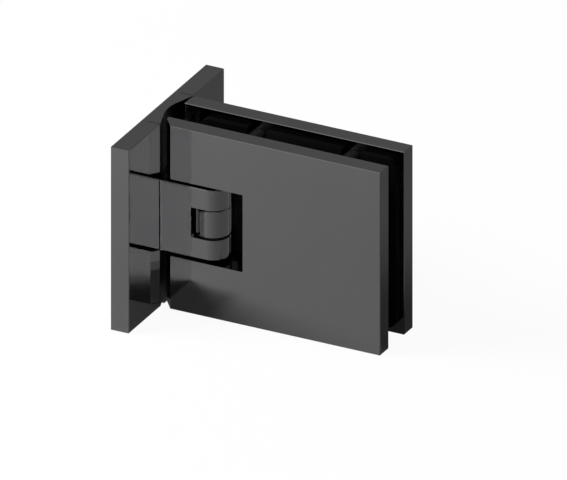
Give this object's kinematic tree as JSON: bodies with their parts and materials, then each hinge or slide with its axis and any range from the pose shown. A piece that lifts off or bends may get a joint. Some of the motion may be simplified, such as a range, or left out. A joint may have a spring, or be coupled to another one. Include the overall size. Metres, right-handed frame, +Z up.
{
  "type": "glass door hinge",
  "caption": "Wall-to-glass door hinge: scooped wall plate with covers, an arm with two ears, and a plate clamp for a glass door that turns on an upright pin.",
  "frame": {"origin": "centre of the wall plate's back face, where it meets the wall", "axes": "+X away from the wall, along the closed door; -Y to the side the door opens to; +Z up, along the hinge pin"},
  "size_m": [0.0853, 0.067, 0.065],
  "materials": {
    "graphite_metal": "polished",
    "dark_steel": "satin",
    "gasket_rubber": "matte",
    "black_nylon": "satin"
  },
  "bodies": {
    "wall_side": {"wall_base": "graphite_metal", "front_cover": "graphite_metal", "back_cover": "graphite_metal", "front_cover_screw": "dark_steel", "back_cover_screw": "dark_steel", "hinge_arm": "graphite_metal", "upper_arm_screw": "dark_steel", "lower_arm_screw": "dark_steel", "hinge_pin": "dark_steel"},
    "door_clamp": {"front_clamp_plate": "graphite_metal", "back_clamp_plate": "graphite_metal", "front_gasket": "gasket_rubber", "back_gasket": "gasket_rubber", "hinge_block": "graphite_metal", "upper_bush": "black_nylon", "lower_bush": "black_nylon", "upper_block_screw": "dark_steel", "lower_block_screw": "dark_steel", "clamp_screw_top_near": "dark_steel", "clamp_screw_top_far": "dark_steel", "clamp_screw_bottom_near": "dark_steel", "clamp_screw_bottom_far": "dark_steel", "screw_sleeve_top_near": "black_nylon", "screw_sleeve_top_far": "black_nylon", "screw_sleeve_bottom_near": "black_nylon", "screw_sleeve_bottom_far": "black_nylon"}
  },
  "joints": [
    {"name": "door_pivot", "type": "hinge", "parent": "wall_side", "child": "door_clamp", "pos_m": [0.0227, -0.0059, 0], "axis": [0, 0, -1], "range_deg": [0, 90]}
  ]
}
